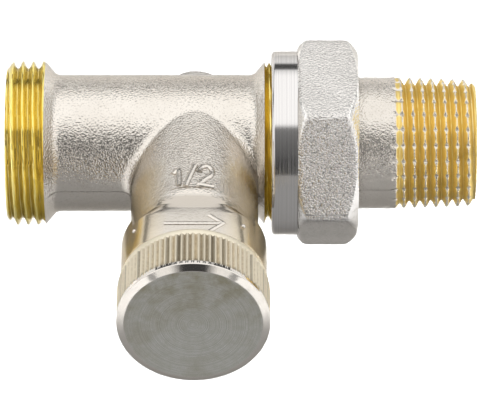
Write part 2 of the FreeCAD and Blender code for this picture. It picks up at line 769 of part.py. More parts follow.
# Union nut: forged hexagon and turned collar, threaded inside, with a lip that pulls the tail in
union_nut = new_body("union_nut")
hex_sketch = cross_sketch(union_nut, "hexagon_outline", "pipe", nut_hex_start)
hex_sketch.setExpression("AttachmentOffset.Rotation.Angle", d.nut_clock_angle.text)
draw_hexagon(hex_sketch, d.nut_hex_width)
hexagon = union_nut.newObject("PartDesign::Pad", "hexagon")
hexagon.Profile = hex_sketch
hexagon.setExpression("Length", d.nut_hex_length.text)
doc.recompute()
hex_corner_radius = d.nut_hex_width / HEX_CORNER_RATIO
front_rise = hex_corner_radius - d.nut_front_radius
bored(union_nut, "front_corners", "pipe", [
    (nut_hex_start, d.nut_front_radius),
    (nut_hex_start + d.nut_front_chamfer * 2, d.nut_front_radius + front_rise * 2),
    (nut_hex_start, d.nut_front_radius + front_rise * 2),
])
back_rise = hex_corner_radius - d.nut_back_radius
bored(union_nut, "back_corners", "pipe", [
    (nut_end, d.nut_back_radius),
    (nut_end, d.nut_back_radius + back_rise * 2),
    (nut_end - d.nut_back_chamfer * 2, d.nut_back_radius + back_rise * 2),
])
turned(union_nut, "collar", "pipe", [
    (nut_start, 0),
    (nut_start, d.nut_collar_radius - d.nut_collar_chamfer),
    (nut_start + d.nut_collar_chamfer, d.nut_collar_radius),
    (nut_hex_start, d.nut_collar_radius),
    (nut_hex_start, 0),
])
nut_thread_radius = d.union_thread_radius + d.nut_fit
nut_lip_start = flange_end + d.face_gap
nut_lip_radius = d.tail_tube_radius + d.tube_fit
bored(union_nut, "nut_bore", "pipe", [
    (nut_start, 0),
    (nut_start, nut_thread_radius + d.nut_mouth_chamfer),
    (nut_start + d.nut_mouth_chamfer, nut_thread_radius),
    (nut_lip_start, nut_thread_radius),
    (nut_lip_start, nut_lip_radius),
    (nut_end, nut_lip_radius),
    (nut_end, 0),
])

doc.recompute()
failed = [item.Label for item in doc.Objects if {"Invalid", "Error"} & set(item.State)]
assert not failed, f"failed objects: {failed}"
pieces = [item for item in doc.Objects if item.TypeId in ("PartDesign::Body", "Part::Torus")]
for piece in pieces:
    shape = piece.Shape
    assert not shape.isNull() and shape.isValid(), f"{piece.Label} is not a valid shape"
    assert len(shape.Solids) == 1, f"{piece.Label} is not one solid"
os.makedirs("parts", exist_ok=True)
for piece in pieces:
    piece.Shape.exportStep(f"parts/{piece.Label}.step")
    print(f"{piece.Label}: {piece.Shape.Volume:.1f} mm3")
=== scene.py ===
# %% [markdown]
# # Dressing a manual radiator valve in Blender
#
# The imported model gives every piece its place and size. This script keeps that frame and gives the valve
# its looks: cut threads, a knurled cap, a forged hexagon with rounded edges, raised marks, and finishes
# made of shader nodes. Run it from top to bottom. Each step says what it makes, and prints what it made.

# %% Load the frame
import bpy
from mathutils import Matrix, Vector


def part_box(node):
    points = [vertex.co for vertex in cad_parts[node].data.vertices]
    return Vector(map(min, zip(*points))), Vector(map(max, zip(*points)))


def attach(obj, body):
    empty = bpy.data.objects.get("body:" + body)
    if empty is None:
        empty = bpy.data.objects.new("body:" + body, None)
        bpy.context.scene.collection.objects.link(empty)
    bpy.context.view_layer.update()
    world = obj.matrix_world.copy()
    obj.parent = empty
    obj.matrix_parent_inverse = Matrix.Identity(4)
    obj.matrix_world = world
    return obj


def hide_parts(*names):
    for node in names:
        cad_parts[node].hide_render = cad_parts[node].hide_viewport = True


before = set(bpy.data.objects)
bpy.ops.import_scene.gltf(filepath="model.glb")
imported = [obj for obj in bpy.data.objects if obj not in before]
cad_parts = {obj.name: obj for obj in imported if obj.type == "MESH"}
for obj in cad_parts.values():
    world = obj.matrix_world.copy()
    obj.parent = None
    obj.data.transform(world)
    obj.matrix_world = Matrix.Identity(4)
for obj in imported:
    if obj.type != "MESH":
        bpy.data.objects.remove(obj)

# %% [markdown]
# ## Measures
#
# All lengths are in metres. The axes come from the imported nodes, so that nothing has to be fitted by hand:
# the pipe axis is X through the origin, and the spindle axis points along -Y through the middle of the cap.

# %% Read the places of the main nodes
import math
import bmesh
import bpy
import numpy as np
from mathutils import Vector

MM = 0.001
FULL_TURN = 2 * math.pi
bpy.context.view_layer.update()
body_low, body_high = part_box("valve_body")
cap_low, cap_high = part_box("cap")
nut_low, nut_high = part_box("union_nut")
tail_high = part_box("tailpiece")[1]
spindle_x = (cap_low.x + cap_high.x) / 2
print("spindle axis at x", round(spindle_x / MM, 2), "mm")

# %% [markdown]
# ## Round pieces from rings
#
# Threads, the knurl and the nut are all nearly round. They could be lathed with Blender's Screw modifier, but
# their radius changes round the axis, so one function skins them instead. It takes rows of points that go
# round an axis, joins each row to the next, and joins the last row to the first, which gives a closed skin.

# %% Skin a closed stack of rings
merge_distance = 1e-7


def link(name, mesh):
    piece = bpy.data.objects.new(name, mesh)
    bpy.context.collection.objects.link(piece)
    return piece


def shade(piece, sharp=30):
    piece.data.polygons.foreach_set("use_smooth", [True] * len(piece.data.polygons))
    piece.data.set_sharp_from_angle(angle=math.radians(sharp))


def skin(name, rings, sharp=40):
    rows, columns, _ = rings.shape
    here = np.arange(rows * columns).reshape(rows, columns)
    below = np.roll(here, -1, axis=0)
    corners = [here, np.roll(here, -1, axis=1), np.roll(below, -1, axis=1), below]
    faces = np.stack(corners, axis=-1).reshape(-1, 4)
    mesh = bpy.data.meshes.new(name)
    mesh.from_pydata(rings.reshape(-1, 3).tolist(), [], faces.tolist())
    work = bmesh.new()
    work.from_mesh(mesh)
    bmesh.ops.remove_doubles(work, verts=work.verts, dist=merge_distance)
    bmesh.ops.delete(work, geom=[edge for edge in work.edges if edge.is_wire], context="EDGES")
    bmesh.ops.recalc_face_normals(work, faces=work.faces)
    work.to_mesh(mesh)
    work.free()
    piece = link(name, mesh)
    shade(piece, sharp)
    print(name, len(mesh.polygons), "faces")
    return piece


# %% Rings round the two axes
def turn_angles(columns):
    return np.linspace(0, FULL_TURN, columns, endpoint=False)


def round_pipe(x, radius, angle):
    """Points round the pipe axis: angle 0 is +Y and a quarter turn is +Z."""
    x, radius, angle = np.broadcast_arrays(x, radius, angle)
    return np.stack([x, radius * np.cos(angle), radius * np.sin(angle)], axis=-1)


def round_spindle(height, radius, angle):
    """Points round the spindle axis: height is along -Y and angle 0 is +Z."""
    height, radius, angle = np.broadcast_arrays(height, radius, angle)
    return np.stack([spindle_x + radius * np.sin(angle), -height, radius * np.cos(angle)], axis=-1)


# %% [markdown]
# A turned edge is never quite sharp, and a small curve catches the light. `softened` rounds the corners of a
# path before it is spun. A point beside each curve holds the shading of the straight stretch next to it, as
# an edge loop does on a bevelled model.

# %% Soften the corners of a path
longest_share = 0.4
support_share = 1.2


def softened(points, reach, steps=4):
    points = [np.array(point, float) for point in points]
    path = [points[0]]
    for before, corner, after in zip(points, points[1:], points[2:]):
        back, ahead = before - corner, after - corner
        start_share = min(longest_share, reach / np.linalg.norm(back))
        end_share = min(longest_share, reach / np.linalg.norm(ahead))
        start, end = corner + back * start_share, corner + ahead * end_share
        path.append(corner + back * start_share * support_share)
        for s in np.linspace(0, 1, steps + 1):
            path.append((1 - s) ** 2 * start + 2 * s * (1 - s) * corner + s ** 2 * end)
        path.append(corner + ahead * end_share * support_share)
    return np.array(path + [points[-1]])


# %% [markdown]
# Finishes need to know more of a piece than its form, such as where grime sits. `mark` stores one number for
# each point under a name, and a shader can read it by that name later.

# %% Read and mark points
def points_of(piece):
    flat = np.empty(len(piece.data.vertices) * 3)
    piece.data.vertices.foreach_get("co", flat)
    return flat.reshape(-1, 3)


def mark(piece, name, values):
    layer = piece.data.attributes.new(name, "FLOAT", "POINT")
    layer.data.foreach_set("value", np.asarray(values, dtype=np.float32))
    print(piece.name, "marked with", name)


# %% [markdown]
# ## The shape of a pipe thread
#
# A pipe thread has rounded crests and roots. `thread_height` counts position in pitches along the helix and
# returns 0 at a root and 1 at a crest. A right-hand thread moves one pitch along +X for each turn from +Y
# towards +Z.

# %% Thread height along a helix
thread_flat = 0.1
thread_round = 0.35


def eased(share):
    return share * share * (3 - 2 * share)


def thread_height(x, angle, pitch, crest_x, crest_angle):
    turns = (x - crest_x) / pitch - (angle - crest_angle) / FULL_TURN
    ramp = np.abs((turns % 1.0) * 2 - 1)
    flank = np.clip((ramp - thread_flat) / (1 - 2 * thread_flat), 0, 1)
    return (1 - thread_round) * flank + thread_round * eased(flank)


def sleeve(name, places, core, surface, columns):
    """A closed sleeve on the pipe axis, whose outer radius at the given places is surface(x, angle)."""
    x = np.asarray(places)[:, None]
    angle = turn_angles(columns)[None, :]
    ends = np.array([x[-1], x[0]])
    inner, outer = round_pipe(ends, core, angle), round_pipe(x, surface(x, angle), angle)
    return skin(name, np.concatenate([inner, outer]))


# %% [markdown]
# ## Cutting room for the threads
#
# The CAD solids have plain bands or ring grooves where the threads go. A copy of each solid is cut back there
# with a ring, by a Boolean modifier, and the threaded sleeve takes the place of the band. The CAD node itself
# stays as it is.

# %% Copy a node and cut rings from it
def copy_of(node, name):
    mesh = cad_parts[node].data.copy()
    loaded_normals = mesh.attributes.get("custom_normal")
    if loaded_normals:
        mesh.attributes.remove(loaded_normals)
    work = bmesh.new()
    work.from_mesh(mesh)
    bmesh.ops.remove_doubles(work, verts=work.verts, dist=merge_distance)
    work.to_mesh(mesh)
    work.free()
    mesh.materials.clear()
    return link(name, mesh)


def cut_away(piece, tool):
    cut = piece.modifiers.new("cut", "BOOLEAN")
    cut.operation = "DIFFERENCE"
    cut.solver = "EXACT"
    cut.object = tool
    bpy.context.view_layer.update()
    result = piece.evaluated_get(bpy.context.evaluated_depsgraph_get())
    mesh = bpy.data.meshes.new_from_object(result)
    piece.modifiers.clear()
    piece.data = mesh
    bpy.data.objects.remove(tool)


def cut_ring(piece, start, end, inner, outer):
    path = [(start, inner), (start, outer), (end, outer), (end, inner)]
    cut_away(piece, skin("ring", np.stack([round_pipe(x, radius, turn_angles(180)) for x, radius in path])))


# %% The valve body without its two thread bands
thread_core = 11.8 * MM
left_crest = 6.2 * MM
right_crest = 41.3 * MM
beyond = 1.0 * MM
body_shell = copy_of("valve_body", "body_shell")
cut_ring(body_shell, body_low.x - beyond, left_crest, thread_core, body_high.z + beyond)
cut_ring(body_shell, right_crest, body_high.x + beyond, thread_core, body_high.z + beyond)
shade(body_shell)
print("body_shell", len(body_shell.data.polygons), "faces")

# %% [markdown]
# The panel on the collar was pressed in with the dies, and the neck runs down to it in a gentle ramp. A plain
# box would leave sharp sides, so the cutting tool follows the round body a hair above its surface, and dips
# below it along the ramp and the panel. A soft minimum joins the two, which rounds the panel's sides. Heights
# are measured along the spindle, from the pipe axis.

# %% The floor of the panel and its ramp
neck_radius, collar_round = 10.1 * MM, 11.4 * MM
shoulder_start, shoulder_slope = 26.25 * MM, 0.6
ramp_top, ramp_foot, panel_end = 23.4 * MM, 27.3 * MM, 35.07 * MM
panel_above, panel_level = 10.4 * MM, 8.97 * MM
panel_bow = 12.0
side_round, tool_lift = 0.5 * MM, 0.02 * MM


def softest(values, softness):
    first = values[0]
    return first - softness * np.log(sum(np.exp(-(value - first) / softness) for value in values))


def panel_floor(across, height):
    share = eased(np.clip((height - ramp_top) / (ramp_foot - ramp_top), 0, 1))
    level = panel_above + (panel_level - panel_above) * share
    level = level - panel_bow / 2 * np.maximum(height - ramp_foot, 0) ** 2
    widening = neck_radius + (height - shoulder_start) * shoulder_slope
    radius = np.clip(widening, neck_radius, collar_round)
    body = np.sqrt(radius ** 2 - across ** 2)
    return softest([body, level + 0 * across], side_round) + tool_lift


print("panel floor at", round(float(panel_floor(0, ramp_foot)) / MM, 2), "mm")


# %% [markdown]
# Long faces along the neck would take on slanted shading where the ramp begins, so extra rows of points go
# round the neck there before the cut.

# %% The tool that cuts the panel
tool_half, tool_top = 9.6 * MM, 50 * MM
tool_columns, tool_row_count = 81, 72
neck_rows = np.arange(22.5, 26.2, 0.4) * MM


def add_rows(piece, heights):
    work = bmesh.new()
    work.from_mesh(piece.data)
    for height in heights:
        everything = [*work.verts, *work.edges, *work.faces]
        plane = {"plane_co": (0, -height, 0), "plane_no": (0, 1, 0)}
        bmesh.ops.bisect_plane(work, geom=everything, dist=merge_distance, **plane)
    work.to_mesh(piece.data)
    work.free()


def tool_row(height):
    across = np.linspace(-tool_half, tool_half, tool_columns)
    depth = np.full(tool_columns, -height)
    row = np.stack([spindle_x + across, depth, panel_floor(across, height)], axis=-1)
    lid = row[::-1].copy()
    lid[:, 2] = tool_top
    return np.concatenate([row, lid])


# %% Valve body with its panel
add_rows(body_shell, neck_rows)
tool_rows = [tool_row(height) for height in np.linspace(ramp_top, panel_end, tool_row_count)]
closings = [np.broadcast_to(row.mean(axis=0), row.shape) for row in (tool_rows[0], tool_rows[-1])]
cut_away(body_shell, skin("panel_tool", np.stack([closings[0], *tool_rows, closings[1]])))
shade(body_shell)
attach(body_shell, "valve")
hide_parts("valve_body")
print("body_shell with its panel", len(body_shell.data.polygons), "faces")

# %% [markdown]
# Opposite the neck the forging has a low round pad, on which the body lay while the neck was machined. Its
# rim is worn round and dull, so a disc with a softened edge is laid over it, a little larger than the plain
# one.

# %% Rear pad
pad_radius, pad_proud = 5.35 * MM, 0.28 * MM
pad_sunk, pad_soft = 4 * MM, 0.2 * MM
body_points = points_of(body_shell)
near_axis = np.hypot(body_points[:, 0] - spindle_x, body_points[:, 2]) < pad_radius
pad_face = body_points[near_axis, 1].max() + pad_proud
pad_path = softened([
    (pad_sunk - pad_face, 0),
    (pad_sunk - pad_face, pad_radius),
    (-pad_face, pad_radius),
    (-pad_face, 0),
], pad_soft)
pad_rows = [round_spindle(height, radius, turn_angles(160)) for height, radius in pad_path]
rear_pad = skin("rear_pad", np.stack(pad_rows))
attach(rear_pad, "valve")
print("rear pad at", round(pad_face / MM, 2), "mm")

# %% [markdown]
# ## The pipe thread and the union thread
#
# Both are three-quarter inch parallel threads. The pipe thread starts with a lead-in chamfer and runs out in
# the flank of the flare. The union thread starts in a short groove beside the flare and has a small chamfer
# at its end. Each limit is a radius that depends on x, and the smallest or largest of them wins.

# %% Pipe thread
thread_crest = body_high.z
thread_depth = 1.16 * MM
pipe_pitch, pipe_crest_x = 1.66 * MM, 0.84 * MM
pipe_lead_in, pipe_lead_slope = 1.1 * MM, 1.1
flare_crest, flare_slope = 13.1 * MM, 1.33
seen_top = math.radians(50.5)
parallel_columns = 240


def pipe_thread_surface(x, angle):
    root = thread_crest - thread_depth
    radius = root + thread_depth * thread_height(x, angle, pipe_pitch, pipe_crest_x, seen_top)
    flank = flare_crest - (left_crest - x) * flare_slope
    lead_in = thread_crest - pipe_lead_in + x * pipe_lead_slope
    return np.minimum(np.maximum(radius, flank), lead_in)


pipe_places = np.linspace(body_low.x, left_crest, 57)
pipe_thread = sleeve("pipe_thread", pipe_places, thread_core, pipe_thread_surface, parallel_columns)
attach(pipe_thread, "valve")

# %% Union thread
union_pitch, union_crest_x = 1.814 * MM, 41.9 * MM
union_start, union_crest = 41.5 * MM, 13.05 * MM
union_root = union_crest - thread_depth
union_lead_in = 0.7 * MM
groove_slope, cut_in_slope = 3.0, 2.2


def union_thread_radius(x, angle):
    return union_root + thread_depth * thread_height(x, angle, union_pitch, union_crest_x, seen_top)


def union_thread_surface(x, angle):
    groove = np.maximum(flare_crest - (x - right_crest) * groove_slope, union_root)
    cut_in = union_root + np.maximum(x - union_start, 0) * cut_in_slope
    radius = np.minimum(union_thread_radius(x, angle), cut_in)
    lead_in = union_crest - union_lead_in + (body_high.x - x)
    return np.minimum(np.maximum(radius, groove), lead_in)


union_places = np.linspace(right_crest, body_high.x, 71)
union_thread = sleeve("union_thread", union_places, thread_core, union_thread_surface, parallel_columns)
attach(union_thread, "valve")

# %% [markdown]
# ## The radiator tail
#
# The tail has a tapered half-inch thread. Twenty-five straight notches cross its crests, so that sealing hemp
# holds on it. They were made and plated before the thread was cut, so they keep their plating, and they break
# its edge into small scallops. Thread and notches are two surfaces, and the lower of them is what shows.

# %% Tail shell
tail_core = 9.1 * MM
tube_radius = 10.6 * MM
sleeve_x = 53.1 * MM
tail_shell = copy_of("tailpiece", "tail_shell")
cut_ring(tail_shell, sleeve_x, tail_high.x + beyond, tail_core, tube_radius + beyond)
shade(tail_shell)
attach(tail_shell, "tail")
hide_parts("tailpiece")
print("tail_shell", len(tail_shell.data.polygons), "faces")

# %% Tapered thread with notches
tail_thread_x, notch_x = 62.3 * MM, 61.2 * MM
tail_taper = 0.03125
tail_pitch, tail_crest_x = 1.728 * MM, 64.69 * MM
tail_cut_in = 1.1 * MM
tail_lead_in, tail_lead_slope = 1.0 * MM, 0.9
notch_count = 25
notch_depth, notch_half = 0.38 * MM, math.radians(3.0)
notch_ahead, notch_fade = 0.9 * MM, 1.2 * MM
columns_per_notch = 14


def tail_envelope(x):
    return tube_radius - np.maximum(x - tail_thread_x, 0) * tail_taper


def tail_cut(x, angle):
    depth = thread_depth * np.clip((x - tail_thread_x) / tail_cut_in, 0, 1)
    height = thread_height(x, angle, tail_pitch, tail_crest_x, seen_top)
    lead_in = tail_envelope(x) - tail_lead_in + (tail_high.x - x) * tail_lead_slope
    return np.minimum(tail_envelope(x) - depth * (1 - height), lead_in)


def tail_notch(x, angle):
    step = FULL_TURN / notch_count
    from_notch = np.abs((angle - seen_top) % step - step / 2)
    reach = np.clip((x - tail_thread_x + notch_ahead) / notch_fade, 0, 1)
    return tail_envelope(x) - reach * notch_depth * np.clip(1 - from_notch / notch_half, 0, 1)


def tail_surface(x, angle):
    return np.minimum(tail_cut(x, angle), tail_notch(x, angle))


plain_places, thread_places = np.linspace(sleeve_x, notch_x, 9), np.linspace(notch_x, tail_high.x, 113)
tail_places = np.concatenate([plain_places, thread_places[1:]])
tail_thread = sleeve("tail_thread", tail_places, tail_core, tail_surface, notch_count * columns_per_notch)
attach(tail_thread, "tail")

# %% [markdown]
# Two marks help the brass: `valley` is high at the thread roots, which get painted shade, and `bare` says
# where the cutter took the plating off the tail.

# %% Mark the thread roots and the bare metal
bare_edge, bare_least = 0.06 * MM, 0.02 * MM


def mark_valleys(piece, envelope):
    points = points_of(piece)
    depth = envelope(points[:, 0]) - np.hypot(points[:, 1], points[:, 2])
    mark(piece, "valley", np.clip(depth / thread_depth, 0, 1))
    return points, depth


mark_valleys(pipe_thread, lambda x: thread_crest + 0 * x)
mark_valleys(union_thread, lambda x: union_crest + 0 * x)
tail_points, tail_depth = mark_valleys(tail_thread, tail_envelope)
tail_angle = np.arctan2(tail_points[:, 2], tail_points[:, 1])
above_cut = tail_notch(tail_points[:, 0], tail_angle) - tail_cut(tail_points[:, 0], tail_angle)
mark(tail_thread, "bare", np.clip(above_cut / bare_edge + 0.5, 0, 1) * (tail_depth > bare_least))

# %% [markdown]
# ## The union nut
#
# The nut is a hexagon with a turned collar. Its edges are forged round and its corners are turned off, so the
# radius is a soft minimum of three limits: the flats, and a cone at each end. The cones cut the flats in
# curves, as on any chamfered nut. A bevel modifier on a plain prism couldn't give those curves.

# %% The hexagon's radius
hex_flat = 15.0 * MM
hex_corner = hex_flat / math.cos(math.radians(30))
hex_turn = math.radians(7)
hex_sharpness = 46
hex_start = 46.6 * MM
front_cone, front_cone_length = 15.4 * MM, 1.3 * MM
back_cone, back_cone_length = 14.7 * MM, 1.8 * MM
edge_round = 0.7 * MM


def hexagon(angle):
    facing = [np.cos(angle - hex_turn - math.radians(30 + 60 * side)) for side in range(6)]
    powers = np.clip(np.stack(facing), 0, 1) ** hex_sharpness
    return hex_flat / powers.sum(axis=0) ** (1 / hex_sharpness)


def edge_drop(distance):
    """How far a rounded edge falls below its face, at a distance from its end."""
    inside = np.clip(edge_round - distance, 0, edge_round)
    return edge_round - np.sqrt(edge_round ** 2 - inside ** 2)


def hexagon_limits(x, angle):
    front = front_cone + (x - hex_start) * (hex_corner - front_cone) / front_cone_length
    back = back_cone + (nut_high.x - x) * (hex_corner - back_cone) / back_cone_length
    drop = edge_drop(x - hex_start) + edge_drop(nut_high.x - x)
    return [hexagon(angle) - drop, front + 0 * angle, back + 0 * angle]


print("hexagon from", hex_flat / MM, "to", round(hex_corner / MM, 2), "mm")

# %% [markdown]
# The rows of the nut run along its collar, over the hexagon, round the lip that holds the tail, and back
# along its inner thread, which follows the union thread with a small gap.

# %% Rows of the hexagon
collar_radius = 14.8 * MM
collar_bevel, mouth_bevel = 0.4 * MM, 0.6 * MM
collar_soft, lip_soft = 0.12 * MM, 0.25 * MM
rim_round = 0.24 * MM
nut_bore = 13.13 * MM
lip_start, lip_radius, lip_face = 52.75 * MM, 10.75 * MM, 14.0 * MM
thread_gap = 0.08 * MM
row_step, row_margin = 0.15 * MM, 0.1 * MM
nut_angles = turn_angles(480)


def hexagon_row(x):
    radius = softest(hexagon_limits(x, nut_angles), rim_round)
    least = collar_radius if x < hex_start + edge_round else 0
    return round_pipe(x, np.maximum(radius, least), nut_angles)


ease = edge_round * (1 - np.cos(np.linspace(0, math.pi / 2, 9)))
flats_x = np.linspace(hex_start, nut_high.x, 34)[3:-3]
hexagon_x = np.concatenate([hex_start + ease, flats_x, nut_high.x - ease])
print(len(hexagon_x), "rows over the hexagon")

# %% Union nut
collar_path = softened([
    (nut_low.x, nut_bore + mouth_bevel),
    (nut_low.x, collar_radius - collar_bevel),
    (nut_low.x + collar_bevel, collar_radius),
    (hex_start - 0.10 * MM, collar_radius),
    (hex_start - 0.05 * MM, collar_radius),
], collar_soft)
lip_path = softened([
    (nut_high.x, lip_face),
    (nut_high.x, lip_radius),
    (lip_start, lip_radius),
    (lip_start, nut_bore),
], lip_soft)
nut_rows = [round_pipe(x, radius, nut_angles) for x, radius in collar_path]
nut_rows += [hexagon_row(x) for x in sorted(hexagon_x)]
nut_rows += [round_pipe(x, radius, nut_angles) for x, radius in lip_path]
for x in np.arange(lip_start - row_margin, nut_low.x + row_margin, -row_step):
    mouth = nut_bore + mouth_bevel - (x - nut_low.x)
    inside = np.maximum(union_thread_radius(x, nut_angles) + thread_gap, mouth)
    nut_rows.append(round_pipe(x, inside, nut_angles))
nut_shell = skin("nut_shell", np.stack(nut_rows), sharp=50)
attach(nut_shell, "nut")
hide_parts("union_nut")

# %% [markdown]
# `rim` marks the rounded edges and the cones, which were turned, so that they are lighter and less grainy. An
# edge is found by how far the soft minimum lies below the sharp one.

# %% Mark the lighter rims of the nut
cone_edge, cone_share = 0.15 * MM, 0.8
rim_gain, rim_least = 1.6, 0.35
nut_points = points_of(nut_shell)
nut_limits = hexagon_limits(nut_points[:, 0], np.arctan2(nut_points[:, 2], nut_points[:, 1]))
rounded_off = (np.min(nut_limits, axis=0) - softest(nut_limits, rim_round)) / (rim_round * math.log(2))
below_flat = nut_limits[0] - np.minimum(nut_limits[1], nut_limits[2])
on_cone = np.clip(below_flat / cone_edge, 0, cone_share)
rim_share = np.maximum(np.clip(rounded_off * rim_gain - rim_least, 0, 1), on_cone)
mark(nut_shell, "rim", rim_share * (nut_points[:, 0] > hex_start))

# %% [markdown]
# ## The knurled cap
#
# The cap is turned, then knurled with straight grooves that end in a smooth land behind the front chamfer. A
# rounded bead closes the knurl towards the body. Bump alone would leave a smooth outline, so every groove is
# cut in the mesh, with ten columns of points for each.

# %% The cap's profile
cap_radius = cap_high.z
cap_start, cap_face = -cap_high.y, -cap_low.y
cap_inside = -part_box("cap_gasket")[0].y + 0.05 * MM
cap_bore = 9.7 * MM
chamfer_width, chamfer_depth = 1.2 * MM, 0.5 * MM
land = 0.75 * MM
knurl_end = cap_face - chamfer_depth - land
bead_width, bead_sunk = 1.4 * MM, 0.25 * MM
lip_end = cap_start + bead_width
bead_radius = cap_radius - bead_sunk
bead_top = 0.25
bead_fall_knurl, bead_fall_body = 0.2 * MM, 0.22 * MM
face_soft, inside_soft = 0.12 * MM, 0.14 * MM
face_path = softened([
    (cap_face, 0),
    (cap_face, cap_radius - chamfer_width),
    (cap_face - chamfer_depth, cap_radius),
    (knurl_end, cap_radius),
], face_soft)
print("knurl from", round(lip_end / MM, 2), "to", round(knurl_end / MM, 2), "mm")

# %% The cap's bead and bore
bead = np.linspace(1, 0, 17)
to_knurl = bead_fall_knurl * ((bead - bead_top) / (1 - bead_top)) ** 2
to_body = bead_fall_body * ((bead_top - bead) / bead_top) ** 2
bead_drop = np.where(bead > bead_top, to_knurl, to_body)
bead_path = np.stack([cap_start + (lip_end - cap_start) * bead, bead_radius - bead_drop], axis=-1)
inside_path = softened([
    bead_path[-1],
    (cap_start, cap_bore),
    (cap_inside, cap_bore),
    (cap_inside, 0),
], inside_soft)
print("cap from", round(cap_start / MM, 2), "to", round(cap_face / MM, 2), "mm")

# %% Cap
knurl_count, columns_per_groove = 84, 10
knurl_depth, groove_half = 0.42 * MM, 0.43
run_out = 0.3 * MM
knurl_angles = turn_angles(knurl_count * columns_per_groove)
across_groove = (np.arange(len(knurl_angles)) % columns_per_groove) / columns_per_groove
groove = np.clip(1 - np.abs(across_groove - 0.5) / groove_half, 0, 1)
run_out_heights = knurl_end - run_out * np.linspace(0.2, 1, 5)
groove_heights = np.linspace(knurl_end - 1 * MM, lip_end, 6)
cap_rows = [round_spindle(height, radius, knurl_angles) for height, radius in face_path]
for height in np.concatenate([run_out_heights, groove_heights]):
    depth = knurl_depth * groove * min(1, (knurl_end - height) / run_out)
    cap_rows.append(round_spindle(height, cap_radius - depth, knurl_angles))
for height, radius in np.concatenate([bead_path, inside_path[1:]]):
    cap_rows.append(round_spindle(height, radius, knurl_angles))
cap_shell = skin("cap_shell", np.stack(cap_rows), sharp=28)
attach(cap_shell, "cap")
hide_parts("cap")

# %% [markdown]
# `groove` marks how deep a point lies, so that the knurl can be painted darker down in its grooves, as shade.
# A second mark holds painted shade at the groove ends, and grime in some whole grooves more than others: a
# sine of the groove's number stands in for chance, so that every run gives the same cap.

# %% Mark grooves, painted shade and grime on the cap
end_reach, end_cut = 1.4, 0.04 * MM
rarity, most_grime, grimy_cut = 4, 0.5, 0.12 * MM
cap_points = points_of(cap_shell)
from_spindle = np.hypot(cap_points[:, 0] - spindle_x, cap_points[:, 2])
cut_depth = cap_radius - from_spindle
on_knurl = (-cap_points[:, 1] >= lip_end) & (-cap_points[:, 1] <= knurl_end)
mark(cap_shell, "groove", np.clip(cut_depth / knurl_depth, 0, 1) * on_knurl)
from_end = knurl_end + cap_points[:, 1]
# Painted shade at the groove ends; grime in some whole grooves.
at_end = np.clip(end_reach - from_end / run_out, 0, 1) * (cut_depth > end_cut)
turn_share = np.arctan2(cap_points[:, 0] - spindle_x, cap_points[:, 2]) / FULL_TURN
groove_number = np.floor(turn_share * knurl_count + 1e-4)
chance = np.modf(np.abs(np.sin(groove_number * 12.9898) * 437.585))[0]
in_groove = chance ** rarity * most_grime * (cut_depth > grimy_cut)
mark(cap_shell, "grime_and_shade", on_knurl * np.maximum(at_end, in_groove))

# %% [markdown]
# ## Raised marks on the neck
#
# The pipe size, 1/2, stands on the neck, and a plain flow arrow on the flat panel below it. A font would look
# printed, so both are drawn as strokes with round ends, laid on the surface that carries them and pressed
# flat towards it.

# %% Draw strokes on a surface
def strokes(name, lines, lift, thickness, flatten):
    curve = bpy.data.curves.new(name, "CURVE")
    curve.dimensions = "3D"
    curve.bevel_depth = thickness
    curve.bevel_resolution = 4
    curve.use_fill_caps = True
    curve.resolution_u = 8
    for line in lines:
        spline = curve.splines.new("NURBS")
        spline.points.add(len(line) - 1)
        for point, (x, height) in zip(spline.points, line):
            point.co = (x, -height, lift(x, height), 1)
        spline.order_u = 3
        spline.use_endpoint_u = True
    drawn = link(name + "_curve", curve)
    bpy.context.view_layer.update()
    mesh = bpy.data.meshes.new_from_object(drawn.evaluated_get(bpy.context.evaluated_depsgraph_get()))
    bpy.data.objects.remove(drawn)
    for vertex in mesh.vertices:
        level = lift(vertex.co.x, -vertex.co.y)
        vertex.co.z = level + (vertex.co.z - level) * flatten
    mesh.polygons.foreach_set("use_smooth", [True] * len(mesh.polygons))
    piece = link(name, mesh)
    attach(piece, "valve")
    print(name, len(mesh.polygons), "faces")
    return piece


# %% Size mark
mark_x, mark_height, mark_size = 26.7 * MM, 22.9 * MM, 4.4 * MM
one = [(0.05, 0.72), (0.26, 1.0), (0.26, 0.5), (0.26, 0.0)]
slash = [(0.50, -0.08), (0.66, 0.5), (0.84, 1.08)]
two = [
    (0.98, 0.70), (1.00, 1.02), (1.38, 1.10), (1.48, 0.70),
    (1.22, 0.40), (0.98, 0.02), (0.98, 0.0), (1.5, 0.0),
]


def on_neck(x, height):
    return math.sqrt(neck_radius ** 2 - (x - spindle_x) ** 2)


digits = (one, slash, two)
placed = [[(mark_x + x * mark_size, mark_height - y * mark_size) for x, y in line] for line in digits]
size_mark = strokes("size_mark", placed, on_neck, thickness=0.48 * MM, flatten=0.6)

# %% Flow arrow
arrow_height, arrow_half = 31.0 * MM, 4.6 * MM
barb_length, barb_rise = 2.2 * MM, 1.9 * MM


def on_panel(x, height):
    return float(panel_floor(x - spindle_x, height))


tip_x = spindle_x + arrow_half
tip = (tip_x, arrow_height)
barb_x = tip_x - barb_length
shaft = [(spindle_x - arrow_half, arrow_height), (spindle_x, arrow_height), tip]
barbs = [(barb_x, arrow_height - barb_rise), tip, tip, (barb_x, arrow_height + barb_rise)]
flow_arrow = strokes("flow_arrow", [shaft, barbs], on_panel, thickness=0.38 * MM, flatten=0.5)

# %% [markdown]
# Two small pips stand on the collar, one on each side of the panel, where the dies had vents. Each is a low
# dome that is sunk in the round face.

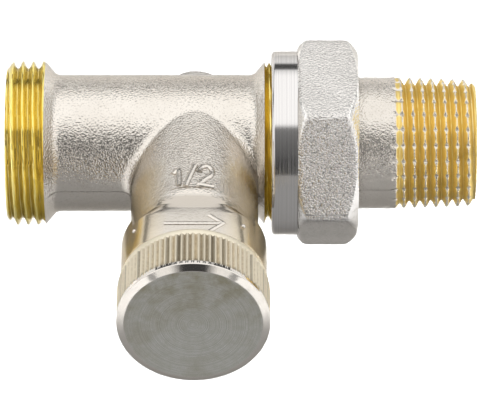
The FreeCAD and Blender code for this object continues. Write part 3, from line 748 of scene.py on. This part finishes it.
# %% Pips on the collar
pip_radius = 0.36 * MM
pip_places = ((-9.2 * MM, 30.4 * MM), (7.7 * MM, 31.2 * MM))
dome = bmesh.new()
for pip_x, pip_height in pip_places:
    seat = Vector((spindle_x + pip_x, -pip_height, math.sqrt(collar_round ** 2 - pip_x ** 2)))
    made = bmesh.ops.create_uvsphere(dome, u_segments=20, v_segments=12, radius=pip_radius)
    bmesh.ops.translate(dome, verts=made["verts"], vec=seat)
pip_mesh = bpy.data.meshes.new("collar_pips")
dome.to_mesh(pip_mesh)
dome.free()
pip_mesh.polygons.foreach_set("use_smooth", [True] * len(pip_mesh.polygons))
collar_pips = link("collar_pips", pip_mesh)
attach(collar_pips, "valve")
print("collar_pips", len(pip_mesh.polygons), "faces")

# %% [markdown]
# ## Finishes
#
# Every finish is a small tree of nodes. Image textures would need unwrapping, so all patterns are worked out
# from the place of a point instead. `node` adds one node, sets it, and links the sockets that it is given.

# %% Node helper
def node(tree, kind, sockets=None, **settings):
    made = tree.nodes.new(kind)
    for name, value in settings.items():
        setattr(made, name, value)
    for name, value in (sockets or {}).items():
        if isinstance(value, bpy.types.NodeSocket):
            tree.links.new(value, made.inputs[name])
        else:
            made.inputs[name].default_value = value
    return made


def new_material(name):
    material = bpy.data.materials.new(name)
    material.use_nodes = True
    tree = material.node_tree
    tree.nodes.clear()
    place = node(tree, "ShaderNodeTexCoord").outputs["Object"]
    print("finish", name)
    return material, tree, place


def finish_with(tree, shader):
    node(tree, "ShaderNodeOutputMaterial", {"Surface": shader})


# %% Patterns and places
def noise(tree, place, scale, detail=2.0, roughness=0.5):
    sockets = {"Vector": place, "Scale": scale, "Detail": detail, "Roughness": roughness}
    return node(tree, "ShaderNodeTexNoise", sockets).outputs["Fac"]


def noise_along(tree, distance, scale):
    """Noise that depends on one distance only, which gives lines or rings."""
    sockets = {"W": distance, "Scale": scale, "Detail": 3.0, "Roughness": 0.65}
    return node(tree, "ShaderNodeTexNoise", sockets, noise_dimensions="1D").outputs["Fac"]


def axes_of(tree, place):
    return node(tree, "ShaderNodeSeparateXYZ", {"Vector": place}).outputs


def marked(tree, name):
    return node(tree, "ShaderNodeAttribute", attribute_name=name).outputs["Fac"]


# %% Sums and mixes
def spread(tree, value, low, high, to_low=0.0, to_high=1.0):
    sockets = {"Value": value, "From Min": low, "From Max": high, "To Min": to_low, "To Max": to_high}
    return node(tree, "ShaderNodeMapRange", sockets).outputs["Result"]


def math_node(tree, operation, first, second=0.0):
    return node(tree, "ShaderNodeMath", {0: first, 1: second}, operation=operation).outputs[0]


def vector_math(tree, operation, *vectors):
    return node(tree, "ShaderNodeVectorMath", dict(enumerate(vectors)), operation=operation).outputs


def blend(tree, factor, first, second):
    return node(tree, "ShaderNodeMix", {0: factor, 2: first, 3: second}).outputs[0]


def tint(tree, factor, first, second):
    made = node(tree, "ShaderNodeMix", data_type="RGBA")
    for index, value in ((0, factor), (6, first), (7, second)):
        if isinstance(value, bpy.types.NodeSocket):
            tree.links.new(value, made.inputs[index])
        else:
            made.inputs[index].default_value = (*value, 1.0) if index else value
    return made.outputs[2]


# %% Bump and metal
EDGE_TINT = (0.45, 0.43, 0.40, 1.0)


def bump(tree, height, distance, strength=1.0, below=None):
    sockets = {"Height": height, "Distance": distance, "Strength": strength}
    if below is not None:
        sockets["Normal"] = below
    return node(tree, "ShaderNodeBump", sockets).outputs["Normal"]


def metal(tree, colour, roughness, normal, metallic=1.0):
    sockets = {"Metallic": metallic, "Base Color": colour, "Specular Tint": EDGE_TINT}
    sockets.update({"Roughness": roughness, "Normal": normal})
    return node(tree, "ShaderNodeBsdfPrincipled", sockets).outputs["BSDF"]


# %% [markdown]
# Blasted nickel is warm grey and grainy: a fine bump scatters the light, and a slow one gives the forging its
# soft waves. A low step follows the parting line of the dies. A look is a colour, a roughness and a normal,
# so that two looks can be mixed before they reach one shader.

# %% Blasted look
NICKEL_TONES = (0.785, 0.74, 0.675), (0.72, 0.67, 0.605), (0.68, 0.63, 0.565)
parting_low, parting_high = -1.35 * MM, -1.1 * MM


def blasted_look(tree, place, grain_depth, dullness, tones=NICKEL_TONES, strength=1.0, fineness=3400):
    light, dark, pits = tones
    grain = noise(tree, place, fineness, 1.0, 0.5)
    waves = noise(tree, place, 240, 2.0)
    patches = spread(tree, noise(tree, place, 130, 3.0, 0.6), 0.35, 0.7)
    colour = tint(tree, patches, light, dark)
    colour = tint(tree, spread(tree, grain, 0.3, 0.45), pits, colour)
    parting = spread(tree, axes_of(tree, place)["Z"], parting_low, parting_high)
    normal = bump(tree, parting, 0.12 * MM, strength)
    normal = bump(tree, waves, 0.10 * MM, 0.35, normal)
    normal = bump(tree, grain, grain_depth, strength, normal)
    return colour, spread(tree, grain, 0.3, 0.7, dullness - 0.03, dullness + 0.05), normal


# %% [markdown]
# The collar of the body was turned, so its grain is weaker and its gloss softer. The ramp above the panel is
# darkened as painted shade, and the sides of the neck and collar get a painted warm reflection of the brass.
# Each of these is a colour laid over the blasted look, by where a point lies.

# %% The body's plating
TURNED_TINT, RAMP_SHADE_TINT, WARM_REFLECTION_TINT = (0.60, 0.55, 0.48), (0.53, 0.485, 0.425), (0.70, 0.585, 0.385)
blasted_nickel, tree, place = new_material("blasted_nickel")
axes = axes_of(tree, place)
turned_part = spread(tree, axes["Y"], -25.8 * MM, -25.2 * MM, 1.0, 0.0)
grain_left = spread(tree, turned_part, 0.0, 1.0, 1.0, 0.1)
ramp_start = spread(tree, axes["Y"], -25.2 * MM, -24.6 * MM, 0.9, 0.0)
ramp_stop = spread(tree, axes["Y"], -27.6 * MM, -26.9 * MM)
from_middle = math_node(tree, "ABSOLUTE", math_node(tree, "SUBTRACT", axes["X"], spindle_x))
beside_middle = spread(tree, from_middle, 4.0 * MM, 9.0 * MM)
on_neck_side = spread(tree, axes["Y"], -17 * MM, -14 * MM, 0.85, 0.0)
colour, roughness, normal = blasted_look(tree, place, 0.12 * MM, 0.08, strength=grain_left)
colour = tint(tree, math_node(tree, "MULTIPLY", turned_part, 0.3), colour, TURNED_TINT)
# Painted shade: the ramp above the panel is darkened.
colour = tint(tree, math_node(tree, "MULTIPLY", ramp_start, ramp_stop), colour, RAMP_SHADE_TINT)
# Painted reflection: the sides of the neck and collar are warmed towards brass.
colour = tint(tree, math_node(tree, "MULTIPLY", beside_middle, on_neck_side), colour, WARM_REFLECTION_TINT)
finish_with(tree, metal(tree, colour, blend(tree, turned_part, roughness, 0.22), normal))

# %% Marks, tail and rear pad
PAD_TONES = (0.74, 0.71, 0.67), (0.67, 0.64, 0.60), (0.61, 0.58, 0.54)
mark_nickel, tree, place = new_material("mark_nickel")
finish_with(tree, metal(tree, *blasted_look(tree, place, 0.1 * MM, 0.16, strength=0.3)))
tail_nickel, tree, place = new_material("tail_nickel")
finish_with(tree, metal(tree, *blasted_look(tree, place, 0.115 * MM, 0.08)))
pad_nickel, tree, place = new_material("pad_nickel")
finish_with(tree, metal(tree, *blasted_look(tree, place, 0.06 * MM, 0.3, PAD_TONES)))

# %% [markdown]
# The hexagon is blasted more coarsely than the body. Its front flat gets the darkest pits as painted shade,
# and its rims are smooth and lighter in colour.

# %% The hexagon's plating
HEX_LIGHT, HEX_DARK, HEX_FRONT_PITS_AND_SHADE = (0.80, 0.775, 0.745), (0.73, 0.705, 0.675), (0.40, 0.385, 0.37)
RIM_TINT = (0.92, 0.90, 0.87)
hex_nickel, tree, place = new_material("hex_nickel")
rim = marked(tree, "rim")
grain_left = spread(tree, rim, 0.0, 1.0, 1.0, 0.1)
# Painted shade: only the front flat gets the darkest pits.
behind_front = spread(tree, axes_of(tree, place)["Y"], -10.6 * MM, -10.2 * MM)
hex_tones = (HEX_LIGHT, HEX_DARK, tint(tree, behind_front, HEX_FRONT_PITS_AND_SHADE, HEX_DARK))
colour, roughness, normal = blasted_look(tree, place, 0.28 * MM, 0.1, hex_tones, grain_left, 3300)
finish_with(tree, metal(tree, tint(tree, rim, colour, RIM_TINT), roughness, normal))

# %% [markdown]
# Brass is bright and yellow where the cutter left it, and brown in old patches and, as painted shade, in the
# roots. Fine lines follow the cutter round the axis. They come from noise that is stretched that way.

# %% Brass look
BRASS_LIGHT, BRASS_DARK, BRASS_TAIL = (0.97, 0.81, 0.28), (0.66, 0.49, 0.16), (0.98, 0.765, 0.29)
ROUND_THE_PIPE = (1.0, 0.03, 0.03)


def brass_look(tree, place, dullness, stained=1.0, least=0.0, light=BRASS_LIGHT, valleys=True, below=None):
    stains = spread(tree, noise(tree, place, 180, 4.0, 0.6), 0.54, 0.72, least, stained)
    if valleys:
        # Painted shade: the thread roots are darkened towards brown.
        deep = spread(tree, marked(tree, "valley"), 0.6, 1.0, 0.0, 0.4)
        stains = math_node(tree, "MAXIMUM", stains, deep)
    colour = tint(tree, stains, light, BRASS_DARK)
    stretched = node(tree, "ShaderNodeMapping", {"Vector": place, "Scale": ROUND_THE_PIPE})
    lines = noise(tree, stretched.outputs["Vector"], 9000, 2.0)
    gloss = noise(tree, place, 500, 3.0)
    roughness = spread(tree, gloss, 0.3, 0.7, dullness * 0.75, dullness * 1.25)
    return colour, roughness, bump(tree, lines, 0.002 * MM, 0.3, below)


thread_brass, tree, place = new_material("thread_brass")
finish_with(tree, metal(tree, *brass_look(tree, place, 0.15, 0.35), 0.85))
plain_brass, tree, place = new_material("plain_brass")
finish_with(tree, metal(tree, *brass_look(tree, place, 0.18, valleys=False)))
# Painted shade: the union thread is darkened all over and stained more, for the gap beside the nut.
union_brass, tree, place = new_material("union_brass")
finish_with(tree, metal(tree, *brass_look(tree, place, 0.2, 0.9, 0.2), 0.85))

# %% [markdown]
# The tail shows both metals, so its plated look and its cut look are mixed by the mark `bare`.

# %% The tail's two metals
tail_brass, tree, place = new_material("tail_brass")
bare = marked(tree, "bare")
plating_left = spread(tree, bare, 0.0, 1.0, 1.0, 0.0)
plated = blasted_look(tree, place, 0.115 * MM, 0.08, strength=plating_left)
plated_colour, plated_roughness, plated_normal = plated
cut_colour, cut_roughness, normal = brass_look(tree, place, 0.4, 0.9, light=BRASS_TAIL, below=plated_normal)
colour = tint(tree, bare, plated_colour, cut_colour)
roughness = blend(tree, bare, plated_roughness, cut_roughness)
finish_with(tree, metal(tree, colour, roughness, normal, 0.82))

# %% [markdown]
# Turned nickel shows the lathe: rings round the pipe axis on the nut's collar, and rings round the spindle on
# the cap. Noise along one distance gives such rings with no seam. The cap's face is duller, with brownish
# stains that have run in from its top.

# %% Turned collar and cap face
def turned_collar():
    material, tree, place = new_material("turned_collar")
    lines = noise_along(tree, axes_of(tree, place)["X"], 6000)
    colour = tint(tree, spread(tree, lines, 0.3, 0.7), (0.66, 0.64, 0.63), (0.82, 0.80, 0.78))
    finish_with(tree, metal(tree, colour, 0.12, bump(tree, lines, 0.014 * MM, 0.8)))
    return material


def spindle_rings(tree, place, scale):
    centred = vector_math(tree, "SUBTRACT", place, (spindle_x, 0, 0))[0]
    flat = vector_math(tree, "MULTIPLY", centred, (1, 0, 1))[0]
    return noise_along(tree, vector_math(tree, "LENGTH", flat)["Value"], scale)


def turned_face():
    material, tree, place = new_material("turned_face")
    rings = spindle_rings(tree, place, 6500)
    mottle = spread(tree, noise(tree, place, 900, 5.0, 0.75), 0.4, 0.62, 0.0, 0.55)
    stains = spread(tree, noise(tree, place, 190, 4.0, 0.6), 0.52, 0.7, 0.0, 0.4)
    towards_top = spread(tree, axes_of(tree, place)["Z"], -2 * MM, 9 * MM)
    drips = spread(tree, noise(tree, place, 380, 5.0, 0.65), 0.4, 0.66, 0.1, 0.85)
    colour = tint(tree, spread(tree, rings, 0.32, 0.68), (0.64, 0.635, 0.58), (0.98, 0.975, 0.92))
    colour = tint(tree, mottle, colour, (0.68, 0.67, 0.59))
    colour = tint(tree, stains, colour, (0.52, 0.47, 0.35))
    colour = tint(tree, math_node(tree, "MULTIPLY", towards_top, drips), colour, (0.50, 0.45, 0.31))
    finish_with(tree, metal(tree, colour, 0.26, bump(tree, rings, 0.014 * MM, 0.8)))
    return material


collar_nickel, face_nickel = turned_collar(), turned_face()

# %% [markdown]
# The knurl is painted darker down in its grooves, as shade, and nearly black at the groove ends, as painted
# shade, and in some grooves, as grime. The land, the chamfer and the bore of the cap are smooth and bright.

# %% Knurl and smooth edge
# Nearly black, for painted shade at the groove ends and grime in some grooves.
GRIME_AND_SHADE = (0.05, 0.04, 0.03)


def knurled_nickel():
    material, tree, place = new_material("knurled_nickel")
    depth = marked(tree, "groove")
    wear = spread(tree, noise(tree, place, 1500, 3.0, 0.6), 0.35, 0.65)
    # Painted shade: the knurl darkens towards this colour deep in its grooves, which varies with wear.
    groove_shade_and_wear = tint(tree, wear, (0.67, 0.59, 0.46), (0.82, 0.74, 0.59))
    colour = tint(tree, spread(tree, depth, 0.1, 0.8), (0.85, 0.78, 0.63), groove_shade_and_wear)
    # Painted shade at the groove ends, grime in some grooves.
    colour = tint(tree, marked(tree, "grime_and_shade"), colour, GRIME_AND_SHADE)
    normal = bump(tree, noise(tree, place, 3000, 2.0), 0.02 * MM, 0.5)
    finish_with(tree, metal(tree, colour, spread(tree, depth, 0.0, 1.0, 0.46, 0.58), normal))
    return material


def turned_edge():
    material, tree, place = new_material("turned_edge")
    lines = noise(tree, place, 2400, 3.0)
    colour = tint(tree, lines, (0.88, 0.835, 0.775), (0.79, 0.745, 0.685))
    finish_with(tree, metal(tree, colour, 0.08, bump(tree, lines, 0.006 * MM, 0.6)))
    return material


knurl_nickel, edge_nickel = knurled_nickel(), turned_edge()

# %% [markdown]
# The seals are black rubber with a faint bloom, and the clips and the screw are grey spring steel.

# %% Rubber and steel
rubber, tree, place = new_material("rubber")
bloom = spread(tree, noise(tree, place, 700, 4.0), 0.4, 0.75)
shader = node(tree, "ShaderNodeBsdfPrincipled", {
    "Base Color": tint(tree, bloom, (0.018, 0.018, 0.02), (0.05, 0.05, 0.052)),
    "Roughness": spread(tree, bloom, 0.0, 1.0, 0.45, 0.65),
    "Normal": bump(tree, noise(tree, place, 3000), 0.01 * MM),
})
finish_with(tree, shader.outputs["BSDF"])
steel, tree, place = new_material("steel")
drawn_lines = noise(tree, place, 2500, 3.0)
colour = tint(tree, drawn_lines, (0.42, 0.42, 0.43), (0.58, 0.57, 0.56))
roughness = spread(tree, drawn_lines, 0.3, 0.7, 0.22, 0.36)
finish_with(tree, metal(tree, colour, roughness, bump(tree, drawn_lines, 0.01 * MM)))


# %% [markdown]
# ## Giving each face its finish
#
# The plating went on before the last machining, so the bores, the spigot under the cap and the thread ends
# are bare. One mesh can hold several materials, so no piece is split for this: faces are sorted by where
# their middle lies.

# %% Sort the faces of a piece
waterway, neck_bore, spigot_reach, tail_bore = 9.5 * MM, 8.3 * MM, 9.7 * MM, 9.0 * MM
knurl_inner = 11 * MM
end_skin, face_skin, seam = 0.05 * MM, 0.04 * MM, 0.02 * MM
spigot_skirt, bore_margin = 0.35 * MM, 0.5 * MM


def from_pipe(middle):
    return np.hypot(middle[:, 1], middle[:, 2])


def from_neck_axis(middle):
    return np.hypot(middle[:, 0] - spindle_x, middle[:, 2])


def body_faces(middle):
    from_axis = from_neck_axis(middle)
    spigot = (-middle[:, 1] > cap_start - spigot_skirt) & (from_axis < spigot_reach)
    ends = (middle[:, 0] < body_low.x + end_skin) | (middle[:, 0] > body_high.x - end_skin)
    in_neck = (from_axis < neck_bore) & (middle[:, 1] < 0)
    return (from_pipe(middle) < waterway) | in_neck | spigot | ends


def tail_faces(middle):
    return from_pipe(middle) < tail_bore


def nut_faces(middle):
    threaded = (from_pipe(middle) < nut_bore + bore_margin) & (middle[:, 0] < lip_start)
    return np.where(threaded, 2, np.where(middle[:, 0] < hex_start - seam, 0, 1))


def cap_faces(middle):
    height, from_axis = -middle[:, 1], from_neck_axis(middle)
    on_face = (height > cap_face - face_skin) & (from_axis < cap_radius - chamfer_width)
    knurled = (height < knurl_end) & (from_axis > knurl_inner)
    return np.where(on_face, 0, np.where(knurled, 1, 2))


# %% Dress every piece
def dress(piece, materials, choose=None):
    piece.data.materials.clear()
    for material in materials:
        piece.data.materials.append(material)
    if choose is None:
        return
    middles = np.empty(len(piece.data.polygons) * 3)
    piece.data.polygons.foreach_get("center", middles)
    index = choose(middles.reshape(-1, 3)).astype(np.int32)
    piece.data.polygons.foreach_set("material_index", index)
    print(piece.name, [int((index == number).sum()) for number in range(len(materials))])


dress(body_shell, [blasted_nickel, plain_brass], body_faces)
dress(tail_shell, [tail_nickel, plain_brass], tail_faces)
dress(nut_shell, [collar_nickel, hex_nickel, plain_brass], nut_faces)
dress(cap_shell, [face_nickel, knurl_nickel, edge_nickel], cap_faces)
dress(rear_pad, [pad_nickel])
dress(pipe_thread, [thread_brass])
dress(union_thread, [union_brass])
dress(tail_thread, [tail_brass])
for raised in (size_mark, flow_arrow, collar_pips):
    dress(raised, [mark_nickel])

# %% Dress the pieces inside
spindle_seals = ["insert_o_ring", "spindle_o_ring_inner", "spindle_o_ring_outer"]
inner_finish = {
    plain_brass: ["insert_bush", "spindle", "cone"],
    rubber: [*spindle_seals, "seat_washer", "cap_gasket", "tail_o_ring"],
    steel: ["spindle_circlip", "cone_clip", "washer_screw"],
}
for material, names in inner_finish.items():
    for name in names:
        dress(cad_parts[name], [material])
    print(material.name, "on", names)

# %% [markdown]
# ## Studio
#
# Metal shows what stands around it, so the light matters as much as the finish. The valve stands in a white
# light tent with a soft box overhead. A dark gap lies behind the box, and the slot that the camera looks
# through is dark too, most of all at the level of the valve. The slot is narrow there and wider higher up.
# Lamps could make all this, but a world of grey levels needs only one short list. Angles are measured round
# the X axis, from the horizon in front, over the top, to the horizon behind.

# %% Grey levels of the tent
light_steps = [
    (-180, 0.8), (-12, 0.12), (0, 0.06), (8, 0.03), (14, 0.05), (24, 0.10), (57, 0.18), (62, 1.0), (132, 1.0),
    (140, 0.8), (143, 0.74), (145, 0.06), (156, 0.06), (159, 0.82), (180, 0.82),
]
slot_low, slot_high, slot_closed = math.radians(10), math.radians(57), math.radians(60)
slot_narrow, slot_wide, slot_soft = 0.12, 0.4, 0.12
TENT_WALL, TENT_STRENGTH = (0.78, 0.77, 0.76), 1.25


def graded(tree, value, steps):
    """A ramp of grey levels at the given places from 0 to 1."""
    ramp = node(tree, "ShaderNodeValToRGB", {"Fac": value})
    stops = ramp.color_ramp.elements
    while len(stops) < len(steps):
        stops.new(0.5)
    for stop, (position, level) in zip(stops, steps):
        stop.position = position
        stop.color = (level, level, level, 1.0)
    return ramp.outputs["Color"]


# %% World
world = bpy.data.worlds.new("studio")
bpy.context.scene.world = world
world.use_nodes = True
tree = world.node_tree
tree.nodes.clear()
axes = axes_of(tree, node(tree, "ShaderNodeTexCoord").outputs["Generated"])
turn = math_node(tree, "ARCTAN2", axes["Z"], math_node(tree, "MULTIPLY", axes["Y"], -1.0))
around_pipe = spread(tree, turn, -math.pi, math.pi)
overhead = graded(tree, around_pipe, [((degrees + 180) / 360, level) for degrees, level in light_steps])
sideways = math_node(tree, "ABSOLUTE", axes["X"])
slot_edge = spread(tree, turn, slot_low, slot_high, slot_narrow, slot_wide)
beside_slot = spread(tree, math_node(tree, "SUBTRACT", sideways, slot_edge), 0.0, slot_soft)
in_front = spread(tree, turn, slot_high, slot_closed, 1.0, 0.0)
level = tint(tree, math_node(tree, "MULTIPLY", beside_slot, in_front), overhead, TENT_WALL)
light = node(tree, "ShaderNodeBackground", {"Color": level, "Strength": TENT_STRENGTH})
node(tree, "ShaderNodeOutputWorld", {"Surface": light.outputs["Background"]})
print("tent with", len(light_steps), "light steps")

# %% [markdown]
# The pale floor lies well below the valve. A nearer one would show the valve's shadow, and light it from
# below.

# %% Floor
floor_level, floor_size = -110 * MM, 6.0
floor_place = (spindle_x, 0, floor_level)
bpy.ops.mesh.primitive_grid_add(x_subdivisions=8, y_subdivisions=8, size=floor_size, location=floor_place)
floor = bpy.context.object
floor.name = "floor"
paper, tree, place = new_material("paper")
shader = node(tree, "ShaderNodeBsdfPrincipled", {
    "Base Color": tint(tree, noise(tree, place, 900, 3.0), (0.33, 0.33, 0.33), (0.36, 0.36, 0.36)),
    "Roughness": 0.9,
    "Specular IOR Level": 0.0,
})
finish_with(tree, shader.outputs["BSDF"])
floor.data.materials.append(paper)
print("floor at", floor_level / MM, "mm")

# %% [markdown]
# Lamps with grids light the floor from above, behind the valve and beside it, so that it turns white there.
# A grid keeps their light off the valve. The lamps beside it stand further out towards the camera, so that
# the valve's lower side doesn't reflect a lit floor.

# %% Floor lamps
lamp_height, grid_spread = 0.5, math.radians(9)
backdrop_power, side_power = 11.0, 7.7
backdrop_half, backdrop_near, backdrop_far = 1.6, 0.05, 2.9
side_reach = 1.2
side_lamps = ((0.05, -0.25, 0.115), (-0.25, -0.5, 0.16), (-0.5, -1.2, 0.27))


def grid_lamp(name, low_x, high_x, low_y, high_y, power):
    lamp = bpy.data.lights.new(name, "AREA")
    lamp.shape = "RECTANGLE"
    lamp.size, lamp.size_y = high_x - low_x, high_y - low_y
    lamp.spread = grid_spread
    lamp.energy = power * lamp.size * lamp.size_y
    lamp_object = link(name, lamp)
    lamp_object.location = ((low_x + high_x) / 2, (low_y + high_y) / 2, lamp_height)


grid_lamp("backdrop_light", -backdrop_half, backdrop_half, backdrop_near, backdrop_far, backdrop_power)
for near, far, away in side_lamps:
    grid_lamp("left_light", -side_reach, spindle_x - away, far, near, side_power)
    grid_lamp("right_light", spindle_x + away, side_reach, far, near, side_power)
print(len(bpy.data.lights), "lamps")

# %% [markdown]
# ## Camera
#
# The camera looks straight across the pipe and down at it, from far away and through a long lens, so that the
# pipe's edges stay parallel. The lens follows from how large a metre should be in the picture.

# %% Camera
camera_distance = 0.75
picture_width, pixels_per_metre = 480, 6200
look_down = math.radians(39.5)
aim_x, aim_below = 37.4 * MM, 10.81 * MM
forward = Vector((0, math.cos(look_down), -math.sin(look_down)))
upward = Vector((0, math.sin(look_down), math.cos(look_down)))
aim = Vector((aim_x, 0, 0)) - upward * aim_below
camera_data = bpy.data.cameras.new("camera")
camera_data.sensor_width = 36.0
camera_data.lens = camera_data.sensor_width * pixels_per_metre * camera_distance / picture_width
camera_data.clip_start = 0.01
camera_data.clip_end = 20.0
camera = link("camera", camera_data)
camera.location = aim - forward * camera_distance
camera.rotation_euler = (math.radians(90) - look_down, 0, 0)
bpy.context.scene.camera = camera
bpy.context.scene.view_settings.view_transform = "Standard"
print("lens", round(camera_data.lens, 1), "mm")
